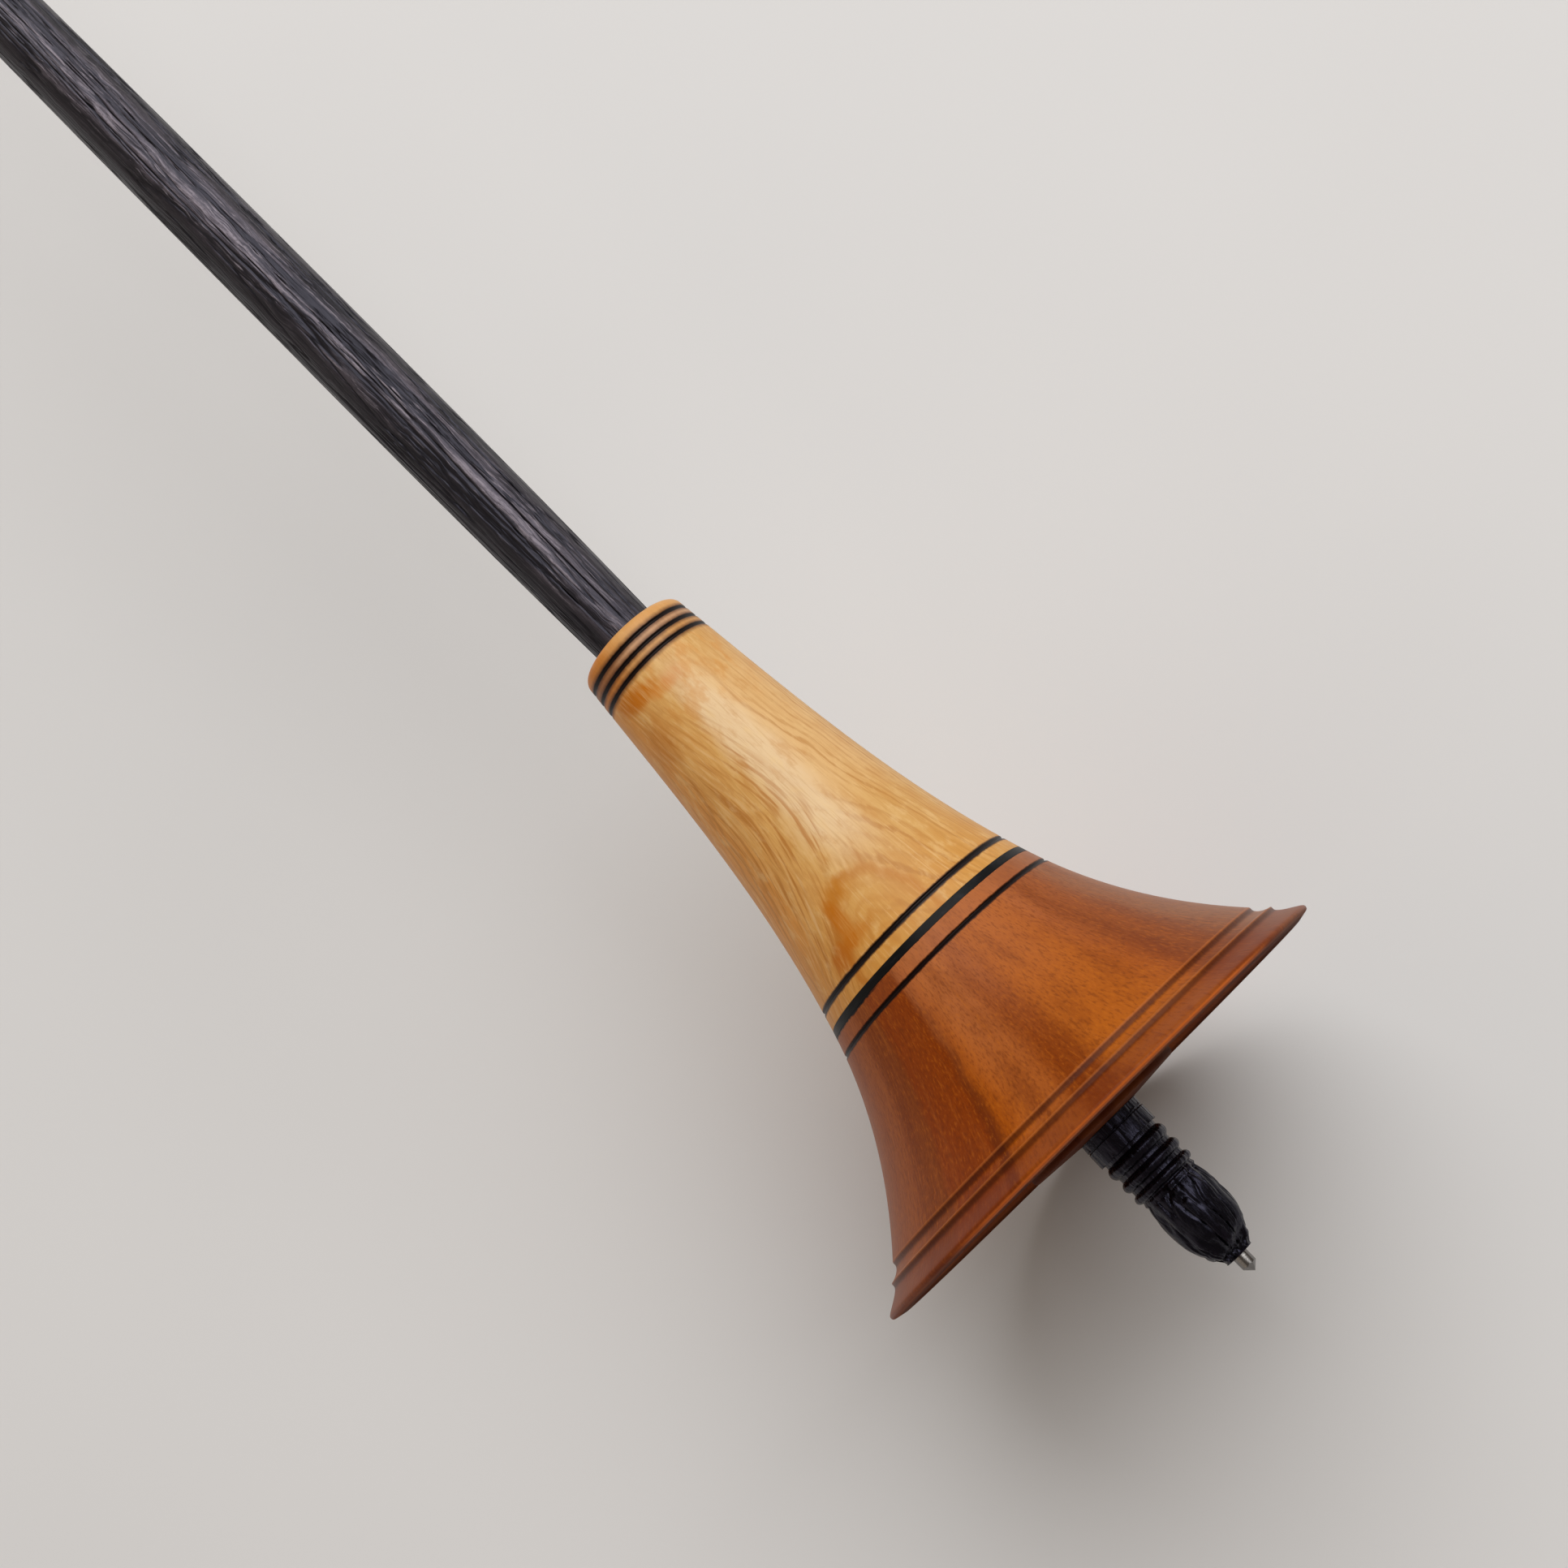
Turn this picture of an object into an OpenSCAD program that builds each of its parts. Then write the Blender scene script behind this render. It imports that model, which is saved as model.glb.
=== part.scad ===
// Support spindle: a turned wooden spindle that spins on a steel point in a small bowl.
// Millimetres. The axis is +Z and the origin is the steel point, so the spindle stands upright.

/* [Steel point] */
// Diameter of the steel rod
pin_d = 1.5; // [1:0.1:2.4]
// Length of the whole rod, point and shank included
pin_length = 14; // [8:0.5:18]
// Bare rod below the foot, point included
pin_reach = 1.9; // [1.3:0.1:4]
// Full angle of the ground point
pin_point_angle = 95; // [70:5:120]
// Radial width of the shoulder that seats on the foot's flat end
pin_shoulder = 0.2; // [0.1:0.05:0.3]
// Chamfer on the buried end of the rod
pin_chamfer = 0.2; // [0.1:0.05:0.3]

/* [Foot] */
// Length of the foot from its flat end to the whorl
foot_length = 15.9; // [14.5:0.1:20]
// Diameter of the flat end round the rod
foot_end_d = 2.9; // [2.6:0.1:4]
// Growth of the radius per millimetre of height, at the flat end
foot_end_flare = 0.95; // [0.5:0.05:1.4]
// Largest diameter of the bulb
bulb_d = 6.9; // [6.2:0.1:9]
// Length of the bulb from its flat end to the beads
bulb_length = 8.7; // [7.5:0.1:10]
// Height of the bulb's largest diameter above its flat end
bulb_rise = 5.9; // [4:0.1:7]
// Diameter at the waist between the bulb and the beads
waist_d = 5.8; // [5:0.1:6.1]
// Narrowing of the radius per millimetre of height, at the waist
waist_taper = 0.4; // [0.1:0.05:0.8]
// Number of beads
bead_count = 3; // [2:1:3]
// Diameter over the beads
bead_d = 6.66; // [6.4:0.02:7.4]
// Depth of the quirks between the beads
quirk_depth = 0.38; // [0.2:0.02:0.5]
// Height of each quirk
quirk_height = 0.34; // [0.2:0.02:0.5]
// Height of the lowest bead
bead_height = 1.0; // [0.7:0.05:1.15]
// How much higher each bead is than the one below it
bead_growth = 0.18; // [0:0.02:0.2]
// Diameter of the plain band above the beads
band_d = 6.68; // [6.4:0.02:8]
// Depth of the score line on the band
score_depth = 0.08; // [0.04:0.01:0.2]
// Distance from the whorl down to the score line
score_drop = 0.92; // [0.3:0.02:1.1]

/* [Whorl] */
// Largest diameter, at the lip of the rim
rim_d = 51; // [48:0.5:60]
// Height from the rim's lowest edge to the top of the collar
whorl_height = 60.9; // [50:0.1:80]
// Height of the joint between the two woods above the rim's lowest edge
seam_height = 21.5; // [14:0.5:30]
// Diameter at that joint
seam_d = 23.7; // [20:0.1:28]
// Thickness of the dark layer glued into the joint
seam_thickness = 0.75; // [0.4:0.05:1.5]
// Diameter at the top of the collar
collar_d = 11.6; // [10:0.1:14]
// Radius of the rounded edge at the top of the collar
collar_round = 0.95; // [0.4:0.05:1.6]
// Growth of the radius per millimetre of descent, at the collar
collar_flare = 0.1; // [0:0.01:0.2]
// Growth of the radius per millimetre of descent, at the joint
seam_flare = 0.305; // [0.2:0.005:0.5]
// Growth of the radius per millimetre of descent, at the rim's upper step
step_flare = 0.9; // [0.6:0.05:1.1]
// Diameter of the bore right through the whorl
bore_d = 6; // [5:0.1:6.2]

/* [Rim] */
// Height of the lip's widest edge above the rim's lowest edge
lip_height = 0.5; // [0.35:0.05:0.9]
// Radius of the rounded lip
lip_round = 0.3; // [0.1:0.05:0.35]
// Radial width of the lip outside the lower step
lip_run = 2.1; // [1.6:0.1:3]
// Height of the lower step above the rim's lowest edge
lower_step_height = 2.55; // [2.2:0.05:2.8]
// Radial width of the cove between the two steps
cove_run = 1.35; // [0.8:0.05:2]
// Height of the upper step above the rim's lowest edge
upper_step_height = 3.8; // [3.5:0.05:5]
// Height of the small upright face under each step
step_drop = 0.32; // [0.15:0.02:0.5]

/* [Underside] */
// Radial width of the bevel from the lip to the land
bevel_run = 1.25; // [0.8:0.05:2]
// Radial width of the flat land under the rim
land_width = 0.7; // [0.4:0.05:1.5]
// Depth of the ring-shaped hollow between the land and the boss
hollow_depth = 3.2; // [1.5:0.1:4.5]
// Diameter of the boss round the foot
boss_d = 16.9; // [14:0.1:22]
// How far the boss stands below the rim
boss_drop = 0.6; // [0.3:0.05:1]
// Height of the boss's slightly domed face
boss_crown = 0.3; // [0.1:0.05:0.4]
// Radius of the boss's rounded edge
boss_round = 0.4; // [0.2:0.05:0.6]

/* [Burnt lines] */
// Width of each burnt groove
burn_width = 0.44; // [0.2:0.02:0.6]
// Depth of each burnt groove
burn_depth = 0.16; // [0.08:0.02:0.3]
// Distance from the middle of the joint to the groove on each side of it
seam_burn_offset = 2.05; // [1.4:0.05:4]
// Distance from the top of the collar to the highest groove
collar_burn_top = 1.6; // [1.3:0.05:2.5]
// Distance between the collar's grooves
collar_burn_pitch = 1.2; // [0.8:0.05:2]
// Number of grooves on the collar
collar_burn_count = 3; // [1:1:4]

/* [Shaft] */
// Height of the shaft's upper end above the steel point
total_length = 270; // [230:5:320]
// Diameter where the shaft leaves the collar
shaft_d = 6.5; // [6.3:0.05:7.5]
// Largest diameter, at the belly
belly_d = 7.2; // [6.4:0.1:9]
// Height of the belly above the collar
belly_rise = 65.7; // [40:0.5:90]
// Growth of the radius per millimetre where the shaft leaves the collar
shaft_swell = 0.02; // [0:0.005:0.03]
// Diameter near the upper end, below its rounded nose
nose_d = 3.4; // [2.4:0.1:5]
// Length of the rounded nose
nose_length = 2.4; // [1:0.1:4]
// Narrowing of the radius per millimetre just below the nose
nose_taper = 0.024; // [0.01:0.002:0.04]

/* [Tenons] */
// Length of the foot's tenon inside the whorl
foot_tenon = 13.5; // [9:0.5:18]
// Free space between the ends of the two tenons
tenon_gap = 0.4; // [0.1:0.1:1]
// Chamfer on the end of each tenon
tenon_chamfer = 0.5; // [0.2:0.1:0.8]
// Gap on the radius for the glue round each tenon
glue_gap = 0.05; // [0.02:0.01:0.15]
// Gap on the radius for the glue round the steel shank
pin_gap = 0.03; // [0.01:0.01:0.1]

/* [Hidden] */

$fn = 128;

// Steps on a long curve, on a short curve and on a bead
long_steps = 36;
short_steps = 12;
bead_steps = 10;

// Handles of the rim's curves, as shares of the lip's or the cove's width
lip_lean = [-0.15, 0.15];
quirk_lean = [0.05, -0.22];
step_lean = [-0.38, 0.08];

// Handle of the hollow's curve at the land, as a share of the hollow's width
hollow_lean = 0.3;

// Handles of the nose's curve, as shares of its length and of its radius
nose_lean = 0.6;
nose_bluntness = 0.5;

// Heights along the axis
foot_z = pin_reach;
boss_z = foot_z + foot_length;
rim_z = boss_z + boss_drop;
lower_step_z = rim_z + lower_step_height;
upper_step_z = rim_z + upper_step_height;
seam_z = rim_z + seam_height;
seam_low_z = seam_z - seam_thickness / 2;
seam_high_z = seam_z + seam_thickness / 2;
collar_z = rim_z + whorl_height;
collar_edge_z = collar_z - collar_round;
belly_z = collar_z + belly_rise;
nose_z = total_length - nose_length;
tenon_z = boss_z + foot_tenon;

// Radii
pin_r = pin_d / 2;
shank_r = pin_r - pin_shoulder;
bore_r = bore_d / 2;
tenon_r = bore_r - glue_gap;
rim_r = rim_d / 2;
lower_step_r = rim_r - lip_run;
upper_step_r = lower_step_r - cove_run;
land_r = rim_r - bevel_run;
hollow_r = land_r - land_width;
boss_r = boss_d / 2;
collar_r = collar_d / 2;

// Height of a bead, counted from the lowest, and the height where it starts
beads_z = foot_z + bulb_length;
function bead_h(i) = bead_height + i * bead_growth;
function bead_z(i) = i == 0 ? beads_z : bead_z(i - 1) + bead_h(i - 1) + quirk_height;

// Foot details that follow the sizes above
quirk_r = bead_d / 2 - quirk_depth;
band_z = bead_z(bead_count);
score_z = boss_z - score_drop;

// Radius at height z on a smooth curve between two heights with set radii and slopes
function flare_r(z, low, high) =
    let (h = high[1] - low[1], t = (z - low[1]) / h)
    (2 * t ^ 3 - 3 * t ^ 2 + 1) * low[0]
    + (t ^ 3 - 2 * t ^ 2 + t) * h * low[2]
    + (3 * t ^ 2 - 2 * t ^ 3) * high[0]
    + (t ^ 3 - t ^ 2) * h * high[2];

// Points on such a curve from z0 to z1; each end is [radius, height, slope]
function flare(low, high, z0, z1, steps) =
    [for (i = [0:steps]) let (z = z0 + (z1 - z0) * i / steps) [flare_r(z, low, high), z]];

// Points on a circular arc
function arc(centre, r, a0, a1, steps) =
    [for (i = [0:steps]) let (a = a0 + (a1 - a0) * i / steps) centre + r * [cos(a), sin(a)]];

// Points on a curve pulled towards two handles
function swing(p0, p1, p2, p3, steps) =
    [for (i = [0:steps])
        let (t = i / steps, u = 1 - t)
        u ^ 3 * p0 + 3 * u ^ 2 * t * p1 + 3 * u * t ^ 2 * p2 + t ^ 3 * p3];

// All points but the first, where a curve starts at the last point of the one before it
function onward(points) = [for (i = [1:len(points) - 1]) points[i]];

// Points round a bead, from its lower quirk to its upper one
function bead(z0, h, r_low, r_high) =
    let (sag = r_high - r_low, r = (h ^ 2 / 4 + sag ^ 2) / (2 * sag), a = 2 * atan(2 * sag / h))
    arc([r_high - r, z0 + h / 2], r, -a, a, bead_steps);

// The whorl's flare in its two curves, below and above the joint
bell_low = [upper_step_r, upper_step_z, -step_flare];
joint_end = [seam_d / 2, seam_z, -seam_flare];
collar_end = [collar_r, collar_edge_z, -collar_flare];
function whorl_r(z) = z < seam_z ? flare_r(z, bell_low, joint_end) : flare_r(z, joint_end, collar_end);

// The shaft's two curves
shaft_low = [shaft_d / 2, collar_z, shaft_swell];
shaft_belly = [belly_d / 2, belly_z, 0];
shaft_nose = [nose_d / 2, nose_z, -nose_taper];

// A ring-shaped groove with a V section, burnt or cut into a surface of radius r at height z
module v_groove(r, z, width, depth) {
    slope = width / 2 / depth;
    over = depth;
    rotate_extrude()
        polygon([
            [r - depth, z],
            [r + over, z - slope * (depth + over)],
            [r + over, z + slope * (depth + over)]]);
}

// Steel rod with a ground point, a shoulder against the foot and a slimmer shank glued into it
module tip_pin() {
    point_h = pin_r / tan(pin_point_angle / 2);
    color([0.62, 0.62, 0.6])
        rotate_extrude()
            polygon([
                [0, 0],
                [pin_r, point_h],
                [pin_r, foot_z],
                [shank_r, foot_z],
                [shank_r, pin_length - pin_chamfer],
                [shank_r - pin_chamfer, pin_length],
                [0, pin_length]]);
}

// Foot of black wood: bulb, beads, plain band, and a tenon that goes up into the whorl
module foot() {
    low = [foot_end_d / 2, foot_z, foot_end_flare];
    widest = [bulb_d / 2, foot_z + bulb_rise, 0];
    waist = [waist_d / 2, beads_z, -waist_taper];
    hole_r = shank_r + pin_gap;
    color([0.1, 0.1, 0.11])
        difference() {
            rotate_extrude()
                polygon(concat(
                    [[0, foot_z]],
                    flare(low, widest, foot_z, widest[1], short_steps),
                    onward(flare(widest, waist, widest[1], beads_z, short_steps)),
                    [for (i = [0:bead_count - 1]) each bead(bead_z(i), bead_h(i), quirk_r, bead_d / 2)],
                    [[quirk_r, band_z], [band_d / 2, band_z], [band_d / 2, boss_z], [tenon_r, boss_z]],
                    [[tenon_r, tenon_z - tenon_chamfer], [tenon_r - tenon_chamfer, tenon_z], [0, tenon_z]]));
            cylinder(r = hole_r, h = pin_length);
            v_groove(band_d / 2, score_z, 2 * score_depth, score_depth);
        }
}

// Outline of the rim from the land out to the lip and up to the upper step
function rim_outline() =
    let (
        lip_c = [rim_r - lip_round, rim_z + lip_height],
        lip_top = lip_c + lip_round * [cos(45), sin(45)],
        lower_step = [lower_step_r, lower_step_z],
        lower_foot = lower_step - [0, step_drop],
        upper_foot = [upper_step_r, upper_step_z - step_drop],
        lip_pull = lip_lean * lip_run,
        quirk_pull = quirk_lean * lip_run,
        step_pull = step_lean * cove_run)
    concat(
        [[land_r, rim_z]],
        arc(lip_c, lip_round, -70, 45, bead_steps),
        onward(swing(lip_top, lip_top + lip_pull, lower_foot + quirk_pull, lower_foot, short_steps)),
        swing(lower_step, lower_step + step_pull, upper_foot + quirk_pull, upper_foot, short_steps));

// Outline of the underside from the bore out to the land
function underside_outline() =
    let (
        seat_r = band_d / 2 + glue_gap,
        edge_c = [boss_r - boss_round, boss_z + boss_crown + boss_round],
        wall_top = [boss_r, edge_c[1]],
        pull_z = rim_z + hollow_depth * 4 / 3,
        wall_pull = [boss_r, pull_z],
        land_pull = [hollow_r - hollow_lean * (hollow_r - boss_r), pull_z])
    concat(
        [[bore_r, boss_z], [seat_r, boss_z]],
        arc(edge_c, boss_round, -90, 0, bead_steps),
        onward(swing(wall_top, wall_pull, land_pull, [hollow_r, rim_z], long_steps)));

// Lower half of the whorl, of brown wood: boss, hollow underside, stepped rim and lower flare
module whorl_bell() {
    burn_z = seam_z - seam_burn_offset;
    color([0.58, 0.29, 0.14])
        difference() {
            rotate_extrude()
                polygon(concat(
                    underside_outline(),
                    rim_outline(),
                    flare(bell_low, joint_end, upper_step_z, seam_low_z, long_steps),
                    [[bore_r, seam_low_z]]));
            v_groove(whorl_r(burn_z), burn_z, burn_width, burn_depth);
        }
}

// Thin dark layer glued between the two woods, turned flush with them
module seam_ring() {
    color([0.07, 0.07, 0.09])
        rotate_extrude()
            polygon([
                [bore_r, seam_low_z],
                [whorl_r(seam_low_z), seam_low_z],
                [whorl_r(seam_z), seam_z],
                [whorl_r(seam_high_z), seam_high_z],
                [bore_r, seam_high_z]]);
}

// Upper half of the whorl, of pale wood: upper flare and collar with its burnt lines
module whorl_neck() {
    collar_burns = [for (i = [0:collar_burn_count - 1]) collar_z - collar_burn_top - i * collar_burn_pitch];
    burns = concat([seam_z + seam_burn_offset], collar_burns);
    edge_c = [collar_r - collar_round, collar_edge_z];
    color([0.85, 0.64, 0.35])
        difference() {
            rotate_extrude()
                polygon(concat(
                    [[bore_r, seam_high_z]],
                    flare(joint_end, collar_end, seam_high_z, collar_edge_z, long_steps),
                    onward(arc(edge_c, collar_round, 0, 90, bead_steps)),
                    [[bore_r, collar_z]]));
            for (z = burns)
                v_groove(whorl_r(z), z, burn_width, burn_depth);
        }
}

// Long shaft of dark wood: tenon in the whorl, gentle belly, slim upper end with a rounded nose
module shaft() {
    tenon_end = tenon_z + tenon_gap;
    nose_r = nose_d / 2;
    nose_pull = [nose_r, nose_z + nose_lean * nose_length];
    end_pull = [nose_bluntness * nose_r, total_length];
    color([0.2, 0.19, 0.21])
        rotate_extrude()
            polygon(concat(
                [[0, tenon_end], [tenon_r - tenon_chamfer, tenon_end], [tenon_r, tenon_end + tenon_chamfer]],
                [[tenon_r, collar_z]],
                flare(shaft_low, shaft_belly, collar_z, belly_z, long_steps),
                onward(flare(shaft_belly, shaft_nose, belly_z, nose_z, long_steps)),
                onward(swing([nose_r, nose_z], nose_pull, end_pull, [0, total_length], short_steps))));
}

tip_pin();
foot();
whorl_bell();
seam_ring();
whorl_neck();
shaft();
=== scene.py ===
"""Looks of a turned support spindle: a whorl of two woods, a dark shaft, a black foot and a steel point.

Lengths are in millimetres and become metres through MM. The axis is +Z, the steel point is the origin,
and -Y is the side that the photograph shows. Outlines are lists of (radius, height) points. Azimuths in
the finishes are in degrees.
"""

from math import atan2, cos, degrees, hypot, pi, radians, sin, tan

import bpy
from mathutils import Matrix, Vector, noise


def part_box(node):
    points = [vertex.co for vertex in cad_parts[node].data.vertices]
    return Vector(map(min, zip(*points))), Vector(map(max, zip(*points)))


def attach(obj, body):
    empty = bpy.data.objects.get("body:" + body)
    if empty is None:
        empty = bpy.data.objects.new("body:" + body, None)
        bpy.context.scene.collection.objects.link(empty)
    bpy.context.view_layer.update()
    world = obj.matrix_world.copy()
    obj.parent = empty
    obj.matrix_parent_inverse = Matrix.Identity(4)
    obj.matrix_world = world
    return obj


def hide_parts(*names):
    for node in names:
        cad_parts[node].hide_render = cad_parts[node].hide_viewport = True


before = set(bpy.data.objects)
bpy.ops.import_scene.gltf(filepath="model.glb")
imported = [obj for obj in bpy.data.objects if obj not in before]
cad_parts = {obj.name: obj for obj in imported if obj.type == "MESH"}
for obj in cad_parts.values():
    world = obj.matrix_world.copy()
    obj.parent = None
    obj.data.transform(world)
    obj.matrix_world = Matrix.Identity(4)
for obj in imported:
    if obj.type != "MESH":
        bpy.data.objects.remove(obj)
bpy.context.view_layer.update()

MM = 0.001

# The photograph's frame, and what the turned rings in it give for the camera
PHOTO_SIDE = 1932
FOCAL_PIXELS = 3161.7
TIP_PIXEL = (1546.83, 1565.17)
TIP_DEPTH = 221.58
SHAFT_LEAN = radians(10.971)
SHAFT_TURN = radians(-134.863)
SENSOR = 36.0
NEAREST = 10.0

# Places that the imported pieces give
FOOT_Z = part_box("foot")[0].z / MM
TENON_TOP_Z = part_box("foot")[1].z / MM
BOSS_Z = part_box("whorl_bell")[0].z / MM
SEAM_LOW_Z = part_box("whorl_bell")[1].z / MM
SEAM_HIGH_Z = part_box("whorl_neck")[0].z / MM
COLLAR_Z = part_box("whorl_neck")[1].z / MM
TENON_END_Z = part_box("shaft")[0].z / MM
TOP_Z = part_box("shaft")[1].z / MM
PIN_TOP_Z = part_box("tip_pin")[1].z / MM
PIN_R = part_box("tip_pin")[1].x / MM
RIM_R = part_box("whorl_bell")[1].x / MM
BULB_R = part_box("foot")[1].x / MM
BELLY_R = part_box("shaft")[1].y / MM
SEAM_Z = (SEAM_LOW_Z + SEAM_HIGH_Z) / 2

# Steel point
POINT_ANGLE = radians(95)
SHANK_R = PIN_R - 0.2
SHANK_CHAMFER = 0.2
POINT_FLATS = 7
FLAT_SLOPE = POINT_ANGLE / 2 - radians(3)
FLAT_TURN = radians(17)
FLAT_INSET = 0.003

# Foot
FOOT_END_R = 1.45
FOOT_END_FLARE = 0.95
PIN_HOLE_R = SHANK_R + 0.03
BULB_RISE = 5.9
BEADS_Z = FOOT_Z + 8.7
WAIST_R = 2.9
WAIST_TAPER = 0.4
BEAD_R = 3.33
BEAD_HEIGHTS = [1.0 + 0.18 * i for i in range(3)]
QUIRK_DEPTH = 0.38
QUIRK_HEIGHT = 0.34
BAND_Z = BEADS_Z + sum(BEAD_HEIGHTS) + QUIRK_HEIGHT * len(BEAD_HEIGHTS)
BAND_R = 3.34
SCORE_DROP = 0.92
SCORE_DEPTH = 0.08

# Whorl
RIM_Z = BOSS_Z + 0.6
SEAM_R = 11.85
COLLAR_R = 5.8
COLLAR_ROUND = 0.95
STEP_FLARE = 0.9
SEAM_FLARE = 0.305
COLLAR_FLARE = 0.1
LIP_HEIGHT = 0.5
LIP_ROUND = 0.3
LOWER_STEP_R = RIM_R - 2.1
LOWER_STEP_Z = RIM_Z + 2.55
UPPER_STEP_R = LOWER_STEP_R - 1.35
UPPER_STEP_Z = RIM_Z + 3.8
STEP_DROP = 0.32
LAND_R = RIM_R - 1.25
HOLLOW_R = LAND_R - 0.7
HOLLOW_DEPTH = 3.2
HOLLOW_LEAN = 0.3
BOSS_R = 8.45
BOSS_CROWN = 0.3
BOSS_ROUND = 0.4
SEAT_R = BAND_R + 0.05
BORE_R = 3.0
TENON_R = 2.95
TENON_CHAMFER = 0.5

# Handles of the rim's curves, as moves from the curves' ends
LIP_PULL = (-0.315, 0.315)
QUIRK_PULL = (0.105, -0.462)
COVE_PULL = (-0.51, 0.11)

# Burnt grooves
BURN_HALF_WIDTH = 0.22
BURN_DEPTH = 0.16
BELL_BURN = SEAM_Z - 2.05
SEAM_BURN = SEAM_Z + 2.05
COLLAR_BURNS = [COLLAR_Z - 1.6 - 1.2 * i for i in range(3)]

# Shaft
SHAFT_R = 3.25
SHAFT_SWELL = 0.02
BELLY_Z = COLLAR_Z + 65.7
NOSE_R = 1.7
NOSE_Z = TOP_Z - 2.4
NOSE_TAPER = 0.024
NOSE_PULL = 1.44

# Sanded edges, sides of the turned pieces, and angles over which an edge stays sharp
BELL_EASE, NECK_EASE, FOOT_EASE, PIN_EASE = 0.07, 0.05, 0.06, 0.04
BELL_SIDES, NECK_SIDES, SHAFT_SIDES, FOOT_SIDES, PIN_SIDES = 256, 224, 256, 220, 96
EDGE_ANGLE, CRACK_ANGLE, FLAT_ANGLE = radians(35), radians(60), radians(12)

# Heights between the points of the long outlines
BELL_STEP, NECK_STEP, SHAFT_STEP, BULB_STEP, BAND_STEP = 0.4, 0.5, 0.9, 0.16, 0.2

# Cracks of the open grain: depth, spacing, length, and width as a share of the spacing
SHAFT_CRACKS = [(0.14, 2.0, 100.0, 0.07), (0.14, 1.1, 18.0, 0.06)]
FOOT_CRACKS = [(0.34, 2.4, 6.5, 0.85), (0.2, 1.6, 9.0, 0.13)]
FOOT_END_CRACKS = (0.35, 2.6, 1.3, 0.5)
CRACK_BEND = 0.3
CRACK_BEND_FINENESS = 2.3
CRACK_BEND_SEED = 1

# Shares of the foot's cracks that its beads and band take, and heights where the cracks change or end
BEAD_CRACKS = 0.25
BAND_CRACKS = 0.35
BULB_CRACKS_TOP_Z = BEADS_Z - 0.4
BAND_CRACKS_TOP_Z = BOSS_Z - 0.05
END_CRACKS_RISE = 3.2

# Table and lamps: places and sizes in metres, powers in watts
TABLE_SLOPE = -0.15
TABLE_SIZE = 3.0
LAMP_TARGET = (0, 0, 0.05)
LAMPS = [
    ("window", (0.4, -0.64, 0.48), 1.0, 9.2, (1.0, 1.0, 1.0)),
    ("fill", (0.45, -0.75, -0.05), 0.36, 0.42, (1.0, 1.0, 1.0)),
    ("left_wall", (-1.0, -0.35, 0.3), 1.4, 2.7, (1.0, 0.88, 0.76)),
]
SURROUND_TINT = (1.0, 0.84, 0.7, 1.0)
SURROUND_STRENGTH = 0.19


# Camera

def place_camera():
    """Puts the camera where the photograph was taken from."""
    centre = PHOTO_SIDE / 2
    tip = Vector((TIP_PIXEL[0] - centre, TIP_PIXEL[1] - centre, FOCAL_PIXELS)) * (TIP_DEPTH / FOCAL_PIXELS)
    level = cos(SHAFT_LEAN)
    along = Vector((level * cos(SHAFT_TURN), level * sin(SHAFT_TURN), sin(SHAFT_LEAN)))
    away = (tip - tip.dot(along) * along).normalized()
    across = away.cross(along)
    lens = Vector((-across.dot(tip), -away.dot(tip), -along.dot(tip))) * MM
    right, down, forward = (Vector((across[i], away[i], along[i])) for i in range(3))
    turned = Matrix((right, -down, -forward)).transposed().to_4x4()
    data = bpy.data.cameras.new("photo_camera")
    data.sensor_width = SENSOR
    data.lens = FOCAL_PIXELS / PHOTO_SIDE * SENSOR
    data.clip_start = NEAREST * MM
    camera = bpy.data.objects.new("photo_camera", data)
    bpy.context.collection.objects.link(camera)
    camera.matrix_world = Matrix.Translation(lens) @ turned
    bpy.context.scene.camera = camera


# Outlines

def flare_r(z, low, high):
    """Radius at height z on the smooth curve between two (radius, height, slope) ends."""
    h = high[1] - low[1]
    t = (z - low[1]) / h
    return ((2 * t**3 - 3 * t**2 + 1) * low[0] + (t**3 - 2 * t**2 + t) * h * low[2]
            + (3 * t**2 - 2 * t**3) * high[0] + (t**3 - t**2) * h * high[2])


def spread(low, high, step):
    """Evenly spread values from low to high, about a step apart."""
    count = max(1, round((high - low) / step))
    return [low + (high - low) * i / count for i in range(count + 1)]


def flare(low, high, step):
    """Points on the smooth curve between two (radius, height, slope) ends."""
    return [(flare_r(z, low, high), z) for z in spread(low[1], high[1], step)]


def arc(centre, r, start, end, steps):
    """Points on a circular arc between two angles in degrees."""
    angles = [radians(start + (end - start) * i / steps) for i in range(steps + 1)]
    return [(centre[0] + r * cos(a), centre[1] + r * sin(a)) for a in angles]


def moved(point, by):
    """A point of an outline after a move."""
    return (point[0] + by[0], point[1] + by[1])


def swing(p0, p1, p2, p3, steps):
    """Points on a curve from p0 to p3 that is pulled towards two handles."""
    points = []
    for i in range(steps + 1):
        t = i / steps
        pulls = ((1 - t)**3, 3 * (1 - t)**2 * t, 3 * (1 - t) * t**2, t**3)
        points.append(tuple(sum(w * p[k] for w, p in zip(pulls, (p0, p1, p2, p3))) for k in (0, 1)))
    return points


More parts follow.
